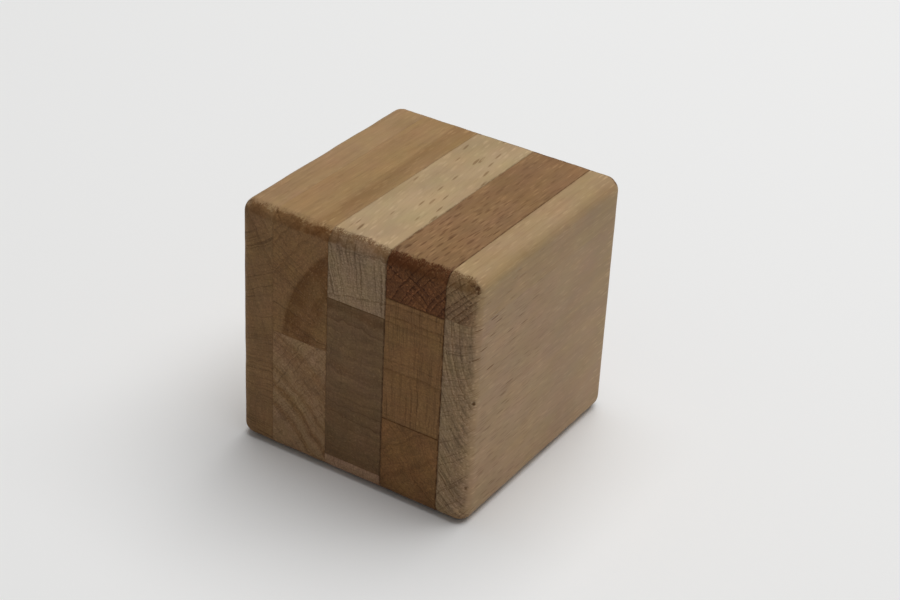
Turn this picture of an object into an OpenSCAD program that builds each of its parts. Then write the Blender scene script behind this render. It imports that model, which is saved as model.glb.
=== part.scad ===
// Solid wooden cube, glued up from beech staves and sanded with rounded edges.
// Five upright layers stand side by side along X, and most layers are two or
// three staves high. The grain of every stave runs from front to back along Y,
// so the front and the back of the cube show end grain.
// The origin is the middle of the base.

/* [Block] */
// Width across the glued layers
block_w = 50; // [44:0.5:80]
// Length along the grain, from front to back
block_d = 50; // [30:0.5:80]
// Height
block_h = 50; // [40:0.5:80]
// Radius of the sanded edges and corners
edge_r = 2.7; // [1:0.1:3.5]

/* [Layers] */
// Thickness of the second layer from the left
layer2_t = 11.9; // [8:0.1:13.5]
// Thickness of the third layer from the left
layer3_t = 12.2; // [8:0.1:13.5]
// Thickness of the fourth layer from the left
layer4_t = 12.1; // [8:0.1:13.5]
// How far the three inner layers together sit to the right of the middle
stack_shift = 0.75; // [-1:0.05:1]

/* [Staves] */
// Height of the lower stave in the second layer
layer2_lower_h = 25.5; // [8:0.1:31]
// Height of the thin bottom stave in the third layer
layer3_lower_h = 3.6; // [3.6:0.1:12]
// Height of the upper stave in the third layer
layer3_upper_h = 13.2; // [8:0.1:18]
// Height of the lower stave in the fourth layer
layer4_lower_h = 16.5; // [8:0.1:20]
// Height of the upper stave in the fourth layer
layer4_upper_h = 8.8; // [8:0.1:14]
// Height of the upper stave in the fifth layer
layer5_upper_h = 8.6; // [8:0.1:31]

/* [Hidden] */
$fn = 48;

// Glue joints between the layers, from left to right. The two outer layers
// take what the three inner ones leave of the width.
inner_t = layer2_t + layer3_t + layer4_t;
left_x = -block_w / 2;
right_x = block_w / 2;
joint_12_x = stack_shift - inner_t / 2;
joint_23_x = joint_12_x + layer2_t;
joint_34_x = joint_23_x + layer3_t;
joint_45_x = joint_34_x + layer4_t;

// Heights of the glue joints inside a layer that are set from the top face.
layer3_upper_z = block_h - layer3_upper_h;
layer4_upper_z = block_h - layer4_upper_h;
layer5_upper_z = block_h - layer5_upper_h;

// Distances from the middle of the block to the centres of its edge rounds.
core_x = block_w / 2 - edge_r;
core_y = block_d / 2 - edge_r;
core_z = block_h / 2 - edge_r;

// Straight round along one edge, lying along X until it is turned.
module edge_round(half_length) {
    rotate([0, 90, 0]) cylinder(r = edge_r, h = 2 * half_length, center = true);
}

// The whole block as it is after the glue-up is sawn, sanded and rounded.
module rounded_block() {
    translate([0, 0, block_h / 2]) {
        cube([block_w, 2 * core_y, 2 * core_z], center = true);
        cube([2 * core_x, block_d, 2 * core_z], center = true);
        cube([2 * core_x, 2 * core_y, block_h], center = true);
        for (a = [-1, 1], b = [-1, 1]) {
            translate([0, a * core_y, b * core_z]) edge_round(core_x);
            translate([a * core_x, 0, b * core_z]) rotate([0, 0, 90]) edge_round(core_y);
            translate([a * core_x, b * core_y, 0]) rotate([0, 90, 0]) edge_round(core_z);
        }
        for (a = [-1, 1], b = [-1, 1], c = [-1, 1]) {
            translate([a * core_x, b * core_y, c * core_z]) sphere(r = edge_r);
        }
    }
}

// One stave: the part of the block between two upright joints and two levels.
module stave(x0, x1, z0, z1) {
    intersection() {
        rounded_block();
        translate([x0, -block_d / 2, z0]) cube([x1 - x0, block_d, z1 - z0]);
    }
}

// First layer: one stave of the full height.
module layer1_stave() {
    color([0.53, 0.41, 0.29]) stave(left_x, joint_12_x, 0, block_h);
}

// Second layer: two staves, joined at about half the height.
module layer2_lower_stave() {
    color([0.56, 0.44, 0.31]) stave(joint_12_x, joint_23_x, 0, layer2_lower_h);
}

module layer2_upper_stave() {
    color([0.58, 0.46, 0.32]) stave(joint_12_x, joint_23_x, layer2_lower_h, block_h);
}

// Third layer: a thin strip below, a tall grey-brown stave and a pale one.
module layer3_lower_stave() {
    color([0.54, 0.43, 0.34]) stave(joint_23_x, joint_34_x, 0, layer3_lower_h);
}

module layer3_middle_stave() {
    color([0.49, 0.39, 0.29]) stave(joint_23_x, joint_34_x, layer3_lower_h, layer3_upper_z);
}

module layer3_upper_stave() {
    color([0.66, 0.56, 0.43]) stave(joint_23_x, joint_34_x, layer3_upper_z, block_h);
}

// Fourth layer: three staves, with the reddest and darkest one on top.
module layer4_lower_stave() {
    color([0.50, 0.37, 0.24]) stave(joint_34_x, joint_45_x, 0, layer4_lower_h);
}

module layer4_middle_stave() {
    color([0.55, 0.41, 0.27]) stave(joint_34_x, joint_45_x, layer4_lower_h, layer4_upper_z);
}

module layer4_upper_stave() {
    color([0.50, 0.35, 0.24]) stave(joint_34_x, joint_45_x, layer4_upper_z, block_h);
}

// Fifth layer: a tall lower stave and a thin upper one, both pale.
module layer5_lower_stave() {
    color([0.60, 0.49, 0.37]) stave(joint_45_x, right_x, 0, layer5_upper_z);
}

module layer5_upper_stave() {
    color([0.62, 0.52, 0.39]) stave(joint_45_x, right_x, layer5_upper_z, block_h);
}

layer1_stave();
layer2_lower_stave();
layer2_upper_stave();
layer3_lower_stave();
layer3_middle_stave();
layer3_upper_stave();
layer4_lower_stave();
layer4_middle_stave();
layer4_upper_stave();
layer5_lower_stave();
layer5_upper_stave();
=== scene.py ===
import math

import bpy
import numpy as np
from mathutils import Matrix, Vector, noise


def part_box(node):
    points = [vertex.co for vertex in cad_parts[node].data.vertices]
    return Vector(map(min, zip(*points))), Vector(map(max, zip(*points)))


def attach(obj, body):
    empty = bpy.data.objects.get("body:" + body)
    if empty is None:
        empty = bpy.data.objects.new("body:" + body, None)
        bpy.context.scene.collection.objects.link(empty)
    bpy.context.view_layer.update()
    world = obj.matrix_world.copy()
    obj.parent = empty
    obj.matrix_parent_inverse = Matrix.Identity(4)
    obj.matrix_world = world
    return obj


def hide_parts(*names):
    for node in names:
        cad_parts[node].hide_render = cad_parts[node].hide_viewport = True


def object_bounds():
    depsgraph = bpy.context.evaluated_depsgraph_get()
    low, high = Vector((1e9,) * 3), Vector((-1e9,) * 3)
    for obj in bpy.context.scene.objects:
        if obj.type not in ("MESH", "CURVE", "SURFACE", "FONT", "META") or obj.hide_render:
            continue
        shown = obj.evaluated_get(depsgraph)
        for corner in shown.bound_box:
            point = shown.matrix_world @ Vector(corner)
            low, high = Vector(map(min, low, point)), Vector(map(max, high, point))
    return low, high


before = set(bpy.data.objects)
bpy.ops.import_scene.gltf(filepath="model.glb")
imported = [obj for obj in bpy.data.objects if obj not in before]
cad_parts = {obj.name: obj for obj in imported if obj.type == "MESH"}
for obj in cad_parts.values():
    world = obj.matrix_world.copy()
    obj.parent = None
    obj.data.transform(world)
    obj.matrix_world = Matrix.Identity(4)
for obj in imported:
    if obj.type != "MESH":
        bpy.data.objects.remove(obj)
cad_low, cad_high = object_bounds()


# ---------------------------------------------------------------------------
# Camera. It looks down on the cube's front right edge, so that the front end
# grain, the right side and the top all show.
MM = 0.001
block_middle = (cad_low + cad_high) / 2
turn_right = math.radians(31.55)
look_down = math.radians(30.86)
roll = math.radians(3.01)
stand_off = 380.5 * MM
aim_right = 3.79 * MM
aim_up = 1.08 * MM

back = Vector((
    math.sin(turn_right) * math.cos(look_down),
    -math.cos(turn_right) * math.cos(look_down),
    math.sin(look_down),
))
level_right = Vector((math.cos(turn_right), math.sin(turn_right), 0))
level_up = back.cross(level_right)
right = level_right * math.cos(roll) + level_up * math.sin(roll)
up = level_up * math.cos(roll) - level_right * math.sin(roll)

camera_data = bpy.data.cameras.new("camera")
camera_data.sensor_width = 36
camera_data.lens = 82.1
camera_data.clip_start = 0.01
camera = bpy.data.objects.new("camera", camera_data)
bpy.context.scene.collection.objects.link(camera)
stand = block_middle + right * aim_right + up * aim_up + back * stand_off
camera.matrix_world = Matrix.Translation(stand) @ Matrix((right, up, back)).transposed().to_4x4()
bpy.context.scene.camera = camera


# ---------------------------------------------------------------------------
# Floor and light. A plain pale floor, one big soft lamp above the cube and a
# little behind it, and an even, weaker light from all round.
HALF_FLOOR = 3.0

floor_mesh = bpy.data.meshes.new("floor")
floor_corners = ((-1, -1), (1, -1), (1, 1), (-1, 1))
floor_mesh.from_pydata([(x * HALF_FLOOR, y * HALF_FLOOR, 0) for x, y in floor_corners], [], [(0, 1, 2, 3)])
floor = bpy.data.objects.new("floor", floor_mesh)
bpy.context.scene.collection.objects.link(floor)

floor_paint = bpy.data.materials.new("floor_paint")
floor_paint.use_nodes = True
floor_shader = floor_paint.node_tree.nodes["Principled BSDF"]
floor_shader.inputs["Base Color"].default_value = (0.90, 0.90, 0.895, 1)
floor_shader.inputs["Roughness"].default_value = 0.9
floor_shader.inputs["Specular IOR Level"].default_value = 0.1
floor_mesh.materials.append(floor_paint)

world = bpy.data.worlds.new("studio")
world.use_nodes = True
sky = world.node_tree.nodes["Background"]
sky.inputs["Color"].default_value = (1.0, 1.0, 1.0, 1)
sky.inputs["Strength"].default_value = 0.20
bpy.context.scene.world = world


def soft_lamp(name, towards, distance, size, watts):
    """A square soft box that faces the middle of the cube."""
    lamp = bpy.data.lights.new(name, "AREA")
    lamp.shape = "SQUARE"
    lamp.size = size
    lamp.energy = watts
    holder = bpy.data.objects.new(name, lamp)
    bpy.context.scene.collection.objects.link(holder)
    direction = Vector(towards).normalized()
    holder.location = block_middle + direction * distance
    holder.rotation_euler = direction.to_track_quat("Z", "Y").to_euler()


soft_lamp("key_lamp", towards=(0.08, 0.30, 1.0), distance=1.3, size=1.3, watts=16.3)
bpy.context.scene.view_settings.view_transform = "Standard"


# ---------------------------------------------------------------------------
# Layer 1: one beech stave, the whole height of the block. It was planed and
# glued to layer 2 on its right side, then sanded and rounded with the block.
# What every stave shares is made here too: first its mesh, then its wood.

# The mesh, in mm: the size of its squares, and the block's rounded edges.
CELL_ACROSS = 0.18
CELL_ALONG = 0.42
ROUND_R = 2.7
HAIR = 1e-4

# The glue joints, in mm: a fine groove, and the dark line beside it.
GROOVE_W = 0.12
GROOVE_DEPTH = 0.10
GLUE_W = 0.30

# Wear, with its depths and sizes in mm: hand sanding that isn't quite even,
# fibres that stand up along the end edges, and how deep a fully dark chip is.
WORN_FROM = 1e-3
EDGE_WEAR = 0.45
EVEN_WEAR = 0.25
WEAR_WAVES_PER_MM = 0.21
FUZZ_HEIGHT = 0.05
FUZZ_SIZE = (0.45, 1.2, 0.45)
FUZZ_COVER = 0.3
DEEP_CHIP = 0.25

# The axis and the end of each side of a stave.
SIDES = {
    "left": (0, 0), "right": (0, 1),
    "front": (1, 0), "back": (1, 1),
    "base": (2, 0), "top": (2, 1),
}

block_low = np.array(cad_low) / MM
block_high = np.array(cad_high) / MM
core_low = block_low + ROUND_R
core_high = block_high - ROUND_R


def grid_lines(low, high, axis, glued_ends):
    """Where a stave's mesh is divided along one axis. The lines are closest beside a glue joint and at the
    rounded ends."""
    stops = {low, high}
    for end, place, inward in ((0, low, 1), (1, high, -1)):
        if (axis, end) in glued_ends:
            stops |= {place + inward * step for step in (GROOVE_W / 2, GROOVE_W, GLUE_W)}
    if axis == 1:
        stops |= {low + ROUND_R, high - ROUND_R}
    stops = sorted(stops)
    lines = [stops[0]]
    for start, end in zip(stops, stops[1:]):
        straight = axis == 1 and start >= low + ROUND_R and end <= high - ROUND_R
        pieces = max(1, round((end - start) / (CELL_ALONG if straight else CELL_ACROSS)))
        lines += list(np.linspace(start, end, pieces + 1)[1:])
    return np.array(lines)


def stave_sides(low, lines, glued_ends):
    """The six sides of a stave on its grid. An open side is many squares. A glued side is one flat face,
    given as the grid points round its rim. Both also come laid out flat, as charts in the same order."""
    counts = [len(line) for line in lines]
    last = [count - 1 for count in counts]

    def number(at):
        return (at[0] * counts[1] + at[1]) * counts[2] + at[2]

    def laid_flat(at, u, v):
        return np.stack([lines[u][at[u]] - low[u], lines[v][at[v]] - low[v]], -1)

    squares, rims, open_charts, glued_charts = [], [], [], []
    for axis, end in SIDES.values():
        u, v = (other for other in range(3) if other != axis)
        turn = [(0, 0), (1, 0), (1, 1), (0, 1)]
        if (axis == 1) != (end == 0):
            turn.reverse()
        at = [None] * 3
        at[axis] = last[axis] * end
        points, chart = [], []
        if (axis, end) in glued_ends:
            for (a, b), (next_a, next_b) in zip(turn, turn[1:] + turn[:1]):
                along, beside = (u, (v, b)) if a != next_a else (v, (u, a))
                forward = next_a > a or next_b > b
                at[u], at[v] = last[u] * a, last[v] * b
                # Between two glued sides, the rim runs straight from corner to corner.
                steps = [0] if beside in glued_ends else range(last[along])
                for step in steps:
                    at[along] = step if forward else last[along] - step
                    points.append(number(at))
                    chart.append(laid_flat(at, u, v))
            rims.append(points)
            glued_charts.append(np.array(chart))
        else:
            across, upward = (grid.ravel() for grid in np.meshgrid(np.arange(last[u]), np.arange(last[v])))
            for a, b in turn:
                at[u], at[v] = across + a, upward + b
                points.append(number(at))
                chart.append(laid_flat(at, u, v))
            squares.append(np.stack(points, 1))
            open_charts.append(np.stack(chart, 1))
    return np.concatenate(squares), rims, open_charts, glued_charts


def sanded(points, low, high, glued_ends, dents):
    """A stave's points on the worn and rounded skin of the block, and how much glue and how much of a chip
    shows at each."""
    glue = np.zeros(len(points))
    sink = np.zeros(len(points))
    for (axis, end), darkness in glued_ends.items():
        away = np.abs(points[:, axis] - (low, high)[end][axis])
        glue = np.maximum(glue, darkness * np.clip(1 - away / GLUE_W, 0, 1))
        sink = np.maximum(sink, GROOVE_DEPTH * darkness * np.clip(1 - away / GROOVE_W, 0, 1))
    core = np.clip(points, core_low, core_high)
    out = points - core
    reach = np.abs(out).max(1, keepdims=True)
    outward = out / np.maximum(np.linalg.norm(out, axis=1, keepdims=True), HAIR)
    points = core + outward * reach
    on_skin = reach[:, 0] > ROUND_R - HAIR

    edge = 1 - np.abs(outward).max(1)
    end_edge = np.abs(outward[:, 1] * outward[:, 2]) * 2
    worn = on_skin & (edge > WORN_FROM)
    uneven, fuzz = np.zeros(len(points)), np.zeros(len(points))
    uneven[worn] = [noise.noise(Vector(point) * WEAR_WAVES_PER_MM) for point in points[worn]]
    fuzz[worn] = [noise.noise(Vector(point)) for point in points[worn] / FUZZ_SIZE]
    sink += EDGE_WEAR * edge * np.clip(EVEN_WEAR + uneven, 0, 1)
    sink += FUZZ_HEIGHT * end_edge * np.clip(FUZZ_COVER - fuzz, 0, 1)
    chipped = np.zeros(len(points))
    for place, radius, depth in dents:
        near = np.clip(1 - np.linalg.norm(points - place, axis=1) / radius, 0, 1)
        chipped = np.maximum(chipped, near * depth / DEEP_CHIP)
        sink = np.maximum(sink, depth * near)
    return points - outward * (sink * on_skin)[:, None], glue, chipped


def side_by_side(charts, gap=0.5):
    """The charts in one row on a square sheet, each turned upright, gap mm apart, as places from 0 to 1."""
    placed = []
    shelf, tallest = 0.0, 0.0
    for chart in charts:
        size = chart.reshape(-1, 2).max(0)
        if size[0] > size[1]:
            chart, size = chart[..., ::-1], size[::-1]
        placed.append((chart + [shelf, 0]).reshape(-1, 2))
        shelf += size[0] + gap
        tallest = max(tallest, size[1])
    return np.concatenate(placed) / max(shelf, tallest + gap)


def stave_mesh(node, glued, dents):
    """One stave as a closed mesh. glued gives how dark the glue line is along each glued side, from 0 to 1,
    and dents are small knocks and chips: place, radius and depth."""
    low, high = (np.array(corner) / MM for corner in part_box(node))
    glued_ends = {SIDES[side]: darkness for side, darkness in glued.items()}
    lines = [grid_lines(low[axis], high[axis], axis, glued_ends) for axis in range(3)]
    squares, rims, open_charts, glued_charts = stave_sides(low, lines, glued_ends)
    used = np.unique(np.concatenate([squares.ravel()] + rims))
    steps = np.unravel_index(used, [len(line) for line in lines])
    points = np.stack([line[step] for line, step in zip(lines, steps)], 1)
    points, glue, chipped = sanded(points, low, high, glued_ends, dents)

    mesh = bpy.data.meshes.new(node)
    faces = np.searchsorted(used, squares).tolist() + [np.searchsorted(used, rim).tolist() for rim in rims]
    mesh.from_pydata((points * MM).tolist(), [], faces)
    for name, values in (("glue", glue), ("chipped", chipped)):
        shown = mesh.attributes.new(name, "FLOAT", "POINT")
        shown.data.foreach_set("value", values.astype(np.float32))

    # A glued side is never seen, so its chart is a small one.
    glued_scale = 0.08
    flat_map = side_by_side(open_charts + [chart * glued_scale for chart in glued_charts])
    mesh.uv_layers.new(name="OFBake").data.foreach_set("uv", flat_map.astype(np.float32).ravel())
    mesh.shade_smooth()
    mesh.set_sharp_from_angle(angle=math.radians(35))
    return mesh


class Wiring:
    """Adds nodes to one node tree and joins them up as they are made."""

    def __init__(self, tree, inputs=(), outputs=()):
        self.tree = tree
        for name, kind in dict(inputs).items():
            tree.interface.new_socket(name, in_out="INPUT", socket_type="NodeSocket" + kind)
        for name in outputs:
            tree.interface.new_socket(name, in_out="OUTPUT", socket_type="NodeSocketFloat")
        if outputs:
            self.given = self.node("NodeGroupInput").outputs
            self.result = self.node("NodeGroupOutput").inputs

    def node(self, kind, sockets=(), **settings):
        made = self.tree.nodes.new(kind)
        for name, value in settings.items():
            setattr(made, name, value)
        for name, value in dict(sockets).items():
            self.feed(made.inputs[name], value)
        return made

    def feed(self, socket, value):
        if isinstance(value, bpy.types.NodeSocket):
            self.tree.links.new(value, socket)
        else:
            socket.default_value = value

    def group(self, tree, **values):
        """Places a node group. An underscore in a name stands for a space."""
        sockets = {name.replace("_", " "): value for name, value in values.items()}
        return self.node("ShaderNodeGroup", sockets, node_tree=tree).outputs

    def math(self, operation, *values):
        made = self.node("ShaderNodeMath", operation=operation)
        for socket, value in zip(made.inputs, values):
            self.feed(socket, value)
        return made.outputs[0]

    def vector(self, operation, *values):
        made = self.node("ShaderNodeVectorMath", operation=operation)
        for socket, value in zip(made.inputs, values):
            self.feed(socket, value)
        return made.outputs[0]

    def scaled(self, vector, amount):
        made = self.node("ShaderNodeVectorMath", {"Vector": vector, "Scale": amount}, operation="SCALE")
        return made.outputs[0]

    def combine(self, x, y, z):
        return self.node("ShaderNodeCombineXYZ", {"X": x, "Y": y, "Z": z}).outputs[0]

    def separate(self, vector):
        return self.node("ShaderNodeSeparateXYZ", {"Vector": vector}).outputs

    def ease(self, value, start, end, low=0.0, high=1.0):
        """Goes softly from low to high as the value goes from start to end."""
        sockets = {"Value": value, "From Min": start, "From Max": end, "To Min": low, "To Max": high}
        return self.node("ShaderNodeMapRange", sockets, interpolation_type="SMOOTHSTEP").outputs["Result"]

    def noise(self, place, waves_per_mm, seed, detail=2.0, roughness=0.5):
        where = self.vector("MULTIPLY_ADD", place, waves_per_mm, self.combine(seed, 0.0, seed))
        sockets = {"Vector": where, "Scale": 1.0, "Detail": detail, "Roughness": roughness}
        return self.node("ShaderNodeTexNoise", sockets).outputs

    def along_line(self, kind, place, output, **sockets):
        """A texture that changes along one line only, at a place on it."""
        return self.node(kind, {"W": place} | sockets, noise_dimensions="1D").outputs[output]

    def nearest(self, place):
        """How far off the nearest of many scattered spots is."""
        return self.node("ShaderNodeTexVoronoi", {"Vector": place, "Scale": 1.0}).outputs["Distance"]

    def mix(self, amount, first, second):
        made = self.node("ShaderNodeMix", data_type="RGBA")
        sockets = {socket.identifier: socket for socket in made.inputs}
        self.feed(sockets["Factor_Float"], amount)
        self.feed(sockets["A_Color"], first)
        self.feed(sockets["B_Color"], second)
        return {socket.identifier: socket for socket in made.outputs}["Result_Color"]


def beech_figure():
    """Node group: growth rings round the pith, rays that run out from it, and fibres along the grain. Place
    is in mm in the cube's own frame, and so are the pith's place and the sizes."""
    sizes = (
        "Pith X", "Pith Z", "Pith Reach", "Lean", "Ring Width", "Evenness", "Wave",
        "Ray Gap", "Ray Reach", "Ray Height", "Seed",
    )
    w = Wiring(
        bpy.data.node_groups.new("beech figure", "ShaderNodeTree"),
        inputs={"Place": "Vector"} | {name: "Float" for name in sizes},
        outputs=(
            "Rings", "Rays", "Fine Rays", "Pale Flecks", "Ring Streaks", "Ray Streaks", "Fibres", "Radius",
        ),
    )
    given = w.given
    seed = given["Seed"]
    middle = (0.5, 0.5, 0.5)
    x, y, z = w.separate(given["Place"])

    # The rings wander in long waves with a finer ripple on them.
    bend = w.noise(given["Place"], (0.16, 0.018, 0.16), seed, detail=4.0, roughness=0.58)["Color"]
    bend = w.scaled(w.vector("SUBTRACT", bend, middle), w.math("MULTIPLY", given["Wave"], 2.0))
    ripple = w.noise(given["Place"], (0.55, 0.03, 0.55), w.math("ADD", seed, 3.0))["Color"]
    ripple = w.scaled(w.vector("SUBTRACT", ripple, middle), w.math("MULTIPLY", given["Wave"], 0.6))
    bend_x, _, bend_z = w.separate(w.vector("ADD", bend, ripple))

    # Each place as seen from the pith: how far out, and how far round.
    pith_x = w.math("MULTIPLY_ADD", given["Lean"], y, given["Pith X"])
    from_x = w.math("SUBTRACT", w.math("ADD", x, bend_x), pith_x)
    from_z = w.math("SUBTRACT", w.math("ADD", z, bend_z), given["Pith Z"])
    squared = w.math("ADD", w.math("MULTIPLY", from_x, from_x), w.math("MULTIPLY", from_z, from_z))
    radius = w.math("SQRT", squared)
    side = w.math("SIGN", w.math("MULTIPLY", given["Pith X"], -1.0))
    angle = w.math("ARCTAN2", w.math("MULTIPLY", from_z, side), w.math("MULTIPLY", from_x, side))
    round_pith = w.math("MULTIPLY", angle, given["Pith Reach"])
    polar = w.combine(radius, round_pith, y)

    # Growth rings: years of uneven width, each darkest at its end.
    years = w.math("DIVIDE", radius, given["Ring Width"])
    slow = w.math("MULTIPLY_ADD", years, 0.4, seed)
    uneven = w.along_line("ShaderNodeTexNoise", slow, 0, Scale=1.0)
    years = w.math("MULTIPLY_ADD", uneven, 1.8, years)
    part = w.math("FRACT", years)
    year = w.math("ADD", w.math("FLOOR", years), seed)
    strength = w.along_line("ShaderNodeTexWhiteNoise", year, "Value")
    strength = w.math("MULTIPLY_ADD", w.math("MULTIPLY", strength, strength), 0.9, 0.1)
    strength = w.math("MAXIMUM", strength, given["Evenness"])
    last_weeks = w.math("MULTIPLY", w.ease(part, 0.72, 0.95), 0.65)
    summer = w.math("MULTIPLY_ADD", w.ease(part, 0.1, 0.95), 0.35, last_weeks)
    rings = w.math("MULTIPLY", w.math("MULTIPLY", summer, w.ease(part, 1.0, 0.95)), strength)

    # Rays: thin ribbons that stand on the rings, the broad ones, finer ones between, and pale flecks (torn
    # fibres and painted sheen).
    ribbon = w.combine(given["Ray Reach"], given["Ray Gap"], given["Ray Height"])
    ray_place = w.vector("ADD", w.vector("DIVIDE", polar, ribbon), w.combine(seed, 0.0, seed))
    rays = w.ease(w.nearest(ray_place), 0.25, 0.13)
    fine_place = w.vector("MULTIPLY_ADD", ray_place, (1.5, 2.6, 1.6), (3.7, 1.9, 5.1))
    fine_rays = w.ease(w.nearest(fine_place), 0.42, 0.18)
    pale_place = w.vector("MULTIPLY_ADD", polar, (2.2, 1.3, 0.28), w.combine(seed, 4.3, 1.7))
    pale_flecks = w.ease(w.nearest(pale_place), 0.40, 0.14)

    # Soft streaks round the rings, out along the rays, and along the fibres.
    back_lean = w.math("MULTIPLY", given["Lean"], -1.0)
    fibre_place = w.combine(w.math("MULTIPLY_ADD", y, back_lean, x), y, z)
    ring_streaks = w.noise(polar, (1.7, 0.22, 0.05), seed, detail=3.0, roughness=0.6)[0]
    ray_streaks = w.noise(polar, (0.22, 2.1, 0.3), seed, detail=3.0, roughness=0.6)[0]
    fibres = w.noise(fibre_place, (2.6, 0.07, 2.6), seed, detail=5.0, roughness=0.62)[0]

    w.feed(w.result["Rings"], rings)
    w.feed(w.result["Rays"], rays)
    w.feed(w.result["Fine Rays"], fine_rays)
    w.feed(w.result["Pale Flecks"], pale_flecks)
    w.feed(w.result["Radius"], radius)
    for name, value in (("Ring Streaks", ring_streaks), ("Ray Streaks", ray_streaks), ("Fibres", fibres)):
        w.feed(w.result[name], w.math("MULTIPLY_ADD", value, 2.0, -1.0))
    return w.tree


def end_grain():
    """Node group: where the fibres are cut across. Over a top or bottom edge the cut ends turn up in a
    ragged dark border with pale whiskers of wood across it, and over an upright edge they fade out softly.
    The whiskers are pale fibres, and their colour is lifted further as a painted highlight."""
    w = Wiring(
        bpy.data.node_groups.new("end grain", "ShaderNodeTree"),
        inputs={"Place": "Vector", "Facing": "Vector", "Turned Up": "Float", "Seed": "Float"},
        outputs=("End", "Border", "Whiskers"),
    )
    given = w.given
    seed = given["Seed"]
    _, n_y, n_z = w.separate(w.vector("ABSOLUTE", given["Facing"]))
    level = w.ease(n_z, 0.05, 0.35)
    over_top = w.ease(w.separate(given["Facing"])[2], -0.3, 0.3, 0.25, 1.0)

    # The end grain starts where the skin turns to the front or back, moved to and fro by tufts of fibre.
    tufts = w.noise(given["Place"], (3.6, 0.9, 3.6), seed, detail=3.0, roughness=0.65)[0]
    drift = w.noise(given["Place"], (0.55, 0.55, 0.55), seed)[0]
    jump = w.math("MULTIPLY_ADD", tufts, 0.75, w.math("MULTIPLY_ADD", drift, 0.75, -0.75))
    jump = w.math("MULTIPLY", jump, w.math("MULTIPLY_ADD", level, 0.6, 0.4))
    cut = w.math("ADD", w.math("MULTIPLY_ADD", given["Turned Up"], level, n_y), jump)
    starts = w.math("MULTIPLY_ADD", level, -0.26, 0.36)
    full = w.math("MULTIPLY_ADD", level, -0.62, 0.94)
    end = w.math("MULTIPLY", w.ease(cut, starts, full), w.ease(n_y, 0.02, 0.12))

    # The border is darkest halfway round the edge, and comes and goes along it.
    slope = w.math("MULTIPLY_ADD", jump, 0.5, w.math("MULTIPLY", n_y, n_z))
    border = w.math("MULTIPLY", w.ease(slope, 0.10, 0.38), w.ease(drift, 0.30, 0.62, 0.45, 1.0))
    border = w.math("MULTIPLY", w.math("MULTIPLY", border, end), over_top)

    hairs = w.noise(given["Place"], (4.2, 0.8, 4.2), w.math("ADD", seed, 5.0), roughness=0.6)[0]
    across_edge = w.math("MULTIPLY", level, w.ease(n_y, 0.85, 0.35))
    whiskers = w.math("MULTIPLY", w.ease(hairs, 0.52, 0.62), across_edge)
    whiskers = w.math("MULTIPLY", whiskers, w.ease(n_y, 0.08, 0.3))
    w.feed(w.result["End"], end)
    w.feed(w.result["Border"], border)
    w.feed(w.result["Whiskers"], whiskers)
    return w.tree


FIGURE_GROUP = beech_figure()
END_GROUP = end_grain()

# What each part of the figure does to the wood's own colour: the shares by
# which its red, green and blue are multiplied.
SUMMER_ALONG = (0.62, 0.52, 0.40)
SUMMER_ACROSS = (0.45, 0.36, 0.27)
BAND_ACROSS = (0.60, 0.50, 0.37)
RAY_ALONG = (0.50, 0.40, 0.31)
RAY_ACROSS = (0.45, 0.40, 0.35)
FINE_RAY_ALONG = (0.52, 0.42, 0.34)
FINE_RAY_ACROSS = (0.50, 0.44, 0.38)
# Pale flecks make the wood lighter than its own colour: partly pale torn fibres, partly painted sheen.
PALE_SHEEN_ALONG = (1.22, 1.24, 1.28)
PALE_SHEEN_ACROSS = (1.5, 1.55, 1.65)
BORDER = (0.58, 0.43, 0.25)
# Whiskers are lighter than the long grain: pale fibres, lifted further as a painted highlight.
WHISKER_HIGHLIGHT = (1.06, 1.04, 1.02)
GLUE = (0.30, 0.22, 0.15)
CHIP = (0.38, 0.28, 0.20)

# In mm: how far back the rays fade, between which heights they fade towards
# the base, where the pale flecks of torn fibres and painted sheen show more, and how soft a band's outer edge
# is.
RAYS_FADE_BACK = 12.0
RAYS_FADE_DOWN = (9.0, 29.0)
TORN_AND_SHEEN_NEAR_ENDS = (17.0, 23.0)
BAND_EDGE = 1.0

# The relief of the wood, in mm.
FIBRE_HEIGHT = 0.015
WHISKER_HEIGHT = 0.06
PORE_HEIGHT = 0.13
RAY_DEPTH = 0.05
FINE_RAY_DEPTH = 0.04
RING_DEPTH = 0.06


def tint(color, shares):
    """The colour with its red, green and blue each multiplied by a share."""
    return tuple(part * share for part, share in zip(color, shares)) + (1.0,)


def dark_years(w, place, radius, seed, bands):
    """How dark the single dark years are, on the ends and on the sides."""
    on_ends, on_sides = 0.0, 0.0
    fading = w.ease(w.noise(place, (0.30, 0.05, 0.30), seed + 2.0, detail=4.0)[0], 0.34, 0.60, 0.60, 1.0)
    for outside, thickness, end_share, side_share in bands:
        inner_side = w.ease(radius, outside - thickness, outside)
        outer_side = w.ease(radius, outside + BAND_EDGE, outside)
        dark = w.math("MULTIPLY", w.math("MULTIPLY", inner_side, outer_side), fading)
        on_ends = w.math("MULTIPLY_ADD", dark, end_share, on_ends)
        on_sides = w.math("MULTIPLY_ADD", dark, side_share, on_sides)
    return on_ends, on_sides


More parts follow.
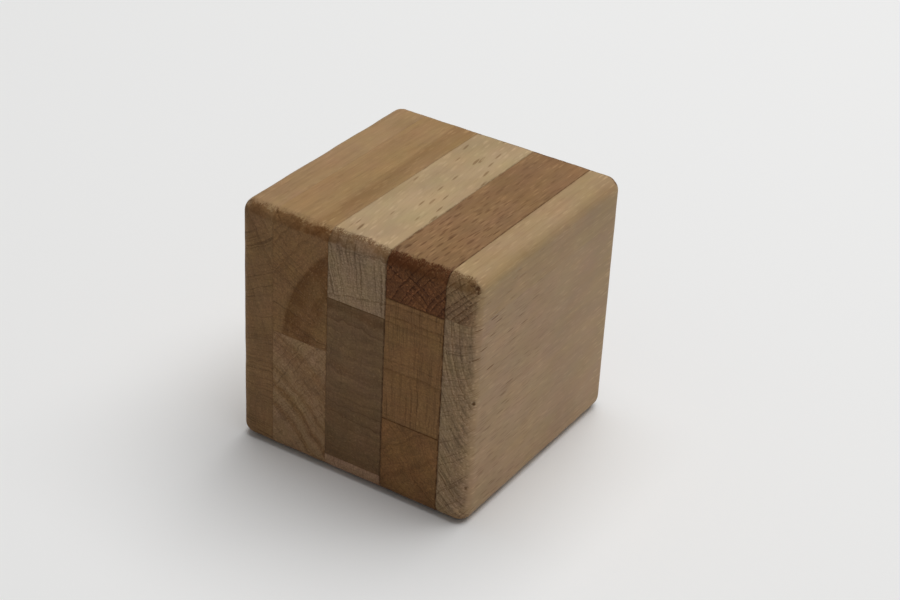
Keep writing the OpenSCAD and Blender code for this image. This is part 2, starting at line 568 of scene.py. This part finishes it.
def beech(node, long, end, pith, seed, ring_width=2.2, even=0.0, wave=0.8, lean=0.0,
          ray_gap=0.7, ray_reach=26.0, ray_height=6.0, late_long=0.20, late_end=0.55,
          ray_long=0.4, ray_end=0.5, fine_long=0.12, fine_end=0.35, pale_long=0.35, pale_end=0.3,
          ring_streak=0.22, ray_streak=0.22, fibre=0.12, cloud=0.07, mottle=0.2,
          border=(0.6, 0.9), turned_up=0.0, whiskers=0.7,
          to_back=0.6, to_base=1.0, bands=()):
    """One stave's beech. long and end are its colours along and across the grain. pith is where the middle
    of its log would be, as x, z and the distance away, and lean is how far it moves sideways for each mm of
    depth. The sizes of rings and rays are in mm. even, whiskers, the names that end in _long or _end, and
    ring_streak to mottle say how strongly each part of the figure shows. border is how dark the ragged
    border is at the stave's left and right, and turned_up how far over the edge it reaches. to_back and
    to_base are how much of the rays is left there. bands are single dark years: radius, thickness, and how
    dark on the ends and on the sides."""
    material = bpy.data.materials.new("beech_" + node)
    material.use_nodes = True
    w = Wiring(material.node_tree)
    shader = material.node_tree.nodes["Principled BSDF"]
    here = w.node("ShaderNodeTexCoord").outputs
    place = w.scaled(here["Object"], 1 / MM)
    x, y, z = w.separate(place)
    figure_seed = seed * 3.7
    figure = w.group(
        FIGURE_GROUP, Place=place, Seed=figure_seed, Pith_X=pith[0], Pith_Z=pith[1], Pith_Reach=pith[2],
        Lean=lean, Ring_Width=ring_width, Evenness=even, Wave=wave,
        Ray_Gap=ray_gap, Ray_Reach=ray_reach, Ray_Height=ray_height)
    cut = w.group(END_GROUP, Place=place, Seed=figure_seed, Facing=here["Normal"], Turned_Up=turned_up)
    band_ends, band_sides = dark_years(w, place, figure["Radius"], seed, bands)
    pores = w.noise(place, (2.6, 2.6, 2.6), seed, detail=4.0, roughness=0.7)[0]

    # Along the grain: the top, the bottom and the upright sides.
    fade_back = w.ease(y, block_low[1], RAYS_FADE_BACK, 1.0, to_back)
    fade_down = w.ease(z, *RAYS_FADE_DOWN, to_base, 1.0)
    rays = w.math("MULTIPLY", figure["Rays"], w.math("MULTIPLY", fade_back, fade_down))
    fine = w.ease(y, block_low[1], block_high[1], fine_long, fine_long * to_back)
    torn_and_sheen = w.ease(w.math("ABSOLUTE", y), *TORN_AND_SHEEN_NEAR_ENDS, pale_long, pale_long * 2.0)
    along = w.mix(w.math("MULTIPLY", figure["Rings"], late_long), long + (1.0,), tint(long, SUMMER_ALONG))
    along = w.mix(band_sides, along, tint(long, SUMMER_ALONG))
    along = w.mix(w.math("MULTIPLY", figure["Fine Rays"], fine), along, tint(long, FINE_RAY_ALONG))
    along = w.mix(w.math("MULTIPLY", rays, ray_long), along, tint(long, RAY_ALONG))
    # The pale flecks along the grain: torn fibres, partly painted sheen, more of them towards the ends.
    along = w.mix(w.math("MULTIPLY", figure["Pale Flecks"], torn_and_sheen), along, tint(long, PALE_SHEEN_ALONG))
    along = w.scaled(along, w.math("MULTIPLY_ADD", figure["Fibres"], fibre, 1.0))

    # Across the grain: the front and the back.
    across = w.mix(w.math("MULTIPLY", figure["Rings"], late_end), end + (1.0,), tint(end, SUMMER_ACROSS))
    across = w.mix(band_ends, across, tint(end, BAND_ACROSS))
    across = w.mix(w.math("MULTIPLY", figure["Rays"], ray_end), across, tint(end, RAY_ACROSS))
    across = w.mix(w.math("MULTIPLY", figure["Fine Rays"], fine_end), across, tint(end, FINE_RAY_ACROSS))
    # The pale flecks on the ends: pale wood, partly painted sheen.
    across = w.mix(w.math("MULTIPLY", figure["Pale Flecks"], pale_end), across, tint(end, PALE_SHEEN_ACROSS))
    across = w.scaled(across, w.math("MULTIPLY_ADD", figure["Ring Streaks"], ring_streak, 1.0))
    across = w.scaled(across, w.math("MULTIPLY_ADD", figure["Ray Streaks"], ray_streak, 1.0))
    across = w.scaled(across, w.ease(pores, 0.25, 0.75, 1.0 - mottle, 1.0 + mottle))

    # Both together, with the ragged border between them, the whiskers lighter than the wood as pale fibres
    # and painted highlight, and slow changes of tone and hue.
    left, right = (corner[0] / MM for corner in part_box(node))
    edge_dark = w.math("MULTIPLY", cut["Border"], w.ease(x, left, right, *border))
    wood = w.mix(cut["End"], along, across)
    wood = w.mix(edge_dark, wood, tint(end, BORDER))
    # The whiskers: pale fibres, made lighter than the wood as a painted highlight.
    wood = w.mix(w.math("MULTIPLY", cut["Whiskers"], whiskers), wood, tint(long, WHISKER_HIGHLIGHT))
    tone = w.noise(place, (0.16, 0.07, 0.16), seed, detail=3.0)[0]
    hue = w.noise(place, (0.22, 0.12, 0.22), seed + 0.5)["Color"]
    hue = w.vector("MULTIPLY_ADD", hue, (0.10, 0.15, 0.24), (0.95, 0.925, 0.88))
    wood = w.scaled(wood, w.ease(tone, 0.25, 0.75, 1.0 - cloud, 1.0 + cloud))
    wood = w.vector("MULTIPLY", wood, hue)

    # Glue lines, broken here and there and fainter along the grain, and the chips made darker, more so where
    # they are deeper.
    gaps = w.noise(place, (0.6, 0.6, 0.6), seed, detail=5.0, roughness=0.7)[0]
    glue = w.node("ShaderNodeAttribute", attribute_name="glue").outputs["Fac"]
    glue = w.math("MULTIPLY", glue, w.ease(gaps, 0.38, 0.58, 0.2, 1.2))
    glue = w.math("MULTIPLY", glue, w.ease(cut["End"], 0.0, 1.0, 0.45, 1.0))
    wood = w.mix(glue, wood, tint(end, GLUE))
    chipped = w.node("ShaderNodeAttribute", attribute_name="chipped").outputs["Fac"]
    # The chips are coloured darker, the deeper the dent the darker.
    chip_darkening = w.ease(w.math("MULTIPLY_ADD", pores, 2.6, chipped), 1.50, 1.95)
    chip_darkening = w.math("MULTIPLY", chip_darkening, w.ease(chipped, 0.0, 0.2))
    w.feed(shader.inputs["Base Color"], w.mix(chip_darkening, wood, tint(end, CHIP)))

    rough = w.ease(cut["End"], 0.0, 1.0, 0.50, 0.75)
    w.feed(shader.inputs["Roughness"], w.math("MULTIPLY_ADD", figure["Fibres"], 0.08, rough))
    shader.inputs["Specular IOR Level"].default_value = 0.14

    height = w.math("MULTIPLY_ADD", rays, -RAY_DEPTH, w.math("MULTIPLY", figure["Fibres"], FIBRE_HEIGHT))
    on_ends = ((pores, PORE_HEIGHT), (figure["Fine Rays"], -FINE_RAY_DEPTH), (figure["Rings"], -RING_DEPTH))
    for pattern, amount in on_ends:
        height = w.math("MULTIPLY_ADD", pattern, w.math("MULTIPLY", cut["End"], amount), height)
    height = w.math("MULTIPLY_ADD", cut["Whiskers"], WHISKER_HEIGHT, height)
    bump = w.node("ShaderNodeBump", {"Height": height, "Strength": 1.0, "Distance": MM})
    w.feed(shader.inputs["Normal"], bump.outputs["Normal"])
    return material


def stave(node, glued, dents=(), **wood):
    """One stave in its place in the block: its mesh, and its wood as beech() takes it."""
    material = beech(node, **wood)
    piece = bpy.data.objects.new(node + "_wood", stave_mesh(node, glued, dents))
    bpy.context.scene.collection.objects.link(piece)
    piece.data.materials.append(material)
    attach(piece, "root")
    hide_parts(node)


stave(
    "layer1_stave", glued={"right": 0.25},
    long=(0.345, 0.215, 0.106), end=(0.232, 0.130, 0.056), pith=(-79.0, 8.0, 60.0), seed=1,
    ring_width=2.6, late_end=0.35,
    ray_gap=1.1, ray_reach=32.0, ray_long=0.10, ray_end=0.5,
    fibre=0.18, cloud=0.10, border=(0.6, 0.4), turned_up=-0.3)


# ---------------------------------------------------------------------------
# Layer 2: two beech staves, glued one on the other and to layers 1 and 3. The
# upper one is cut close to the pith of its log and shows bent dark years, and
# the lower one shows slanting bands.
stave(
    "layer2_upper_stave", glued={"left": 0.25, "right": 0.4, "base": 0.15},
    long=(0.340, 0.207, 0.092), end=(0.243, 0.132, 0.054), pith=(13.3, 23.6, 28.0), seed=2,
    ring_width=1.9, wave=1.4, late_end=0.35,
    ray_long=0.12, fibre=0.18, mottle=0.26, border=(0.4, 1.0), turned_up=-0.35,
    bands=[
        (34.6, 3.2, 0.0, 0.5),
        (28.1, 10.5, 1.0, 0.0),
        (28.1, 2.2, 0.25, 0.0),
        (23.5, 2.2, 0.3, 0.0),
    ])

stave(
    "layer2_lower_stave", glued={"left": 0.2, "right": 0.4, "top": 0.15},
    long=(0.35, 0.23, 0.12), end=(0.308, 0.186, 0.094), pith=(-43.0, -24.0, 45.0), seed=3,
    ring_width=3.0, wave=1.5, late_end=0.25, ray_end=0.15,
    ring_streak=0.55, cloud=0.05, mottle=0.28,
    bands=[
        (56.0, 8.0, 0.6, 0.0),
        (49.4, 1.5, 0.5, 0.0),
        (46.5, 1.6, 0.9, 0.0),
        (43.2, 1.5, 0.7, 0.0),
    ])


# ---------------------------------------------------------------------------
# Layer 3: three beech staves glued one on the other: a thin strip below, a
# tall grey-brown one, and on top a pale one with many short dark rays along
# its upper face.
stave(
    "layer3_upper_stave", glued={"left": 0.5, "right": 0.9, "base": 0.4},
    long=(0.425, 0.300, 0.165), end=(0.305, 0.205, 0.120), pith=(9.0, -20.0, 64.0), seed=4,
    ring_width=1.9, lean=-0.10,
    ray_gap=1.15, ray_height=7.5, ray_long=0.85, ray_end=0.75, fine_end=0.6,
    pale_long=0.5, pale_end=0.5, ray_streak=0.4, cloud=0.1, mottle=0.32,
    border=(0.75, 0.75), turned_up=-0.1, whiskers=1.0, to_back=0.8)

stave(
    "layer3_middle_stave", glued={"left": 0.5, "right": 0.9, "top": 0.4, "base": 0.2},
    long=(0.33, 0.22, 0.12), end=(0.192, 0.113, 0.055), pith=(3.0, 90.0, 62.0), seed=5,
    even=0.3, wave=1.8, late_end=0.75,
    ray_end=0.15, fine_end=0.15, ring_streak=0.4, ray_streak=0.12,
    bands=[(55.2, 2.6, 0.85, 0.0), (67.0, 1.5, 0.4, 0.0), (86.4, 20.0, 0.4, 0.0)])

# Its end colour is nearly as light as its long grain: painted lighter than the wood, as painted light against
# the shade at the foot of the front.
stave(
    "layer3_lower_stave", glued={"left": 0.2, "right": 0.8, "top": 0.2},
    long=(0.36, 0.23, 0.14), end=(0.345, 0.209, 0.127), pith=(2.0, -60.0, 60.0), seed=6,
    ray_end=0.2, mottle=0.3)


# ---------------------------------------------------------------------------
# Layer 4: three beech staves glued one on the other, the reddest and darkest
# of the block on top. Its years and rays cross as a fine net on the ends.
stave(
    "layer4_upper_stave", glued={"left": 0.9, "right": 1.0, "base": 0.8},
    long=(0.258, 0.142, 0.062), end=(0.158, 0.062, 0.022), pith=(54.0, 17.0, 42.0), seed=7,
    ring_width=1.8, even=0.9, late_end=1.0,
    ray_gap=0.75, ray_reach=12.0, ray_long=0.6, ray_end=1.0, fine_long=0.8, fine_end=0.5,
    pale_long=0.9, pale_end=0.9, ring_streak=0.4, ray_streak=0.4, fibre=0.2, cloud=0.14, mottle=0.45,
    border=(1.0, 0.7), turned_up=-0.12, whiskers=1.0, to_back=0.3)

stave(
    "layer4_middle_stave", glued={"left": 0.9, "right": 1.0, "base": 0.5, "top": 0.6},
    long=(0.33, 0.2, 0.1), end=(0.238, 0.126, 0.050), pith=(14.0, -62.6, 88.0), seed=8,
    ring_width=1.6, wave=0.6, late_end=0.6, ray_end=0.6, fine_end=0.45, mottle=0.26)

stave(
    "layer4_lower_stave", glued={"left": 0.8, "right": 0.9, "top": 0.7},
    long=(0.3, 0.18, 0.09), end=(0.218, 0.109, 0.041), pith=(40.0, -30.0, 52.0), seed=9,
    ring_width=3.4, wave=2.2, late_end=0.3, ray_end=0.2,
    ring_streak=0.4, cloud=0.14, mottle=0.28)


# ---------------------------------------------------------------------------
# Layer 5: a thin beech stave glued on a tall one, both pale. The top front
# corner is chipped, and the front edge has two small knocks.
stave(
    "layer5_upper_stave", glued={"left": 1.0, "base": 0.10},
    dents=[
        ((23.4, -24.0, 48.9), 0.65, 0.2),
        ((24.1, -23.7, 48.5), 0.75, 0.25),
        ((24.5, -23.8, 47.9), 0.45, 0.18),
    ],
    long=(0.388, 0.260, 0.135), end=(0.250, 0.153, 0.079), pith=(50.0, 18.0, 38.0), seed=10,
    ring_width=1.3, even=0.95, wave=0.4, late_end=1.0, ray_long=0.3,
    pale_long=0.5, pale_end=0.5, ring_streak=0.4, fibre=0.16, mottle=0.4,
    border=(0.5, 0.7), turned_up=-0.1, to_back=0.3)

stave(
    "layer5_lower_stave", glued={"left": 0.9, "top": 0.10},
    dents=[((24.7, -23.5, 25.7), 0.55, 0.22), ((24.5, -23.9, 8.0), 0.6, 0.15)],
    long=(0.392, 0.259, 0.143), end=(0.303, 0.202, 0.113), pith=(60.0, 43.0, 40.0), seed=11,
    ring_width=1.1, even=0.3, wave=0.5, late_end=0.9,
    ray_gap=0.75, ray_height=6.5, ray_long=1.0, ray_end=0.55, fine_long=0.45, fine_end=0.5,
    pale_long=0.5, pale_end=0.45, ring_streak=0.8, mottle=0.26, to_back=0.0, to_base=0.1)
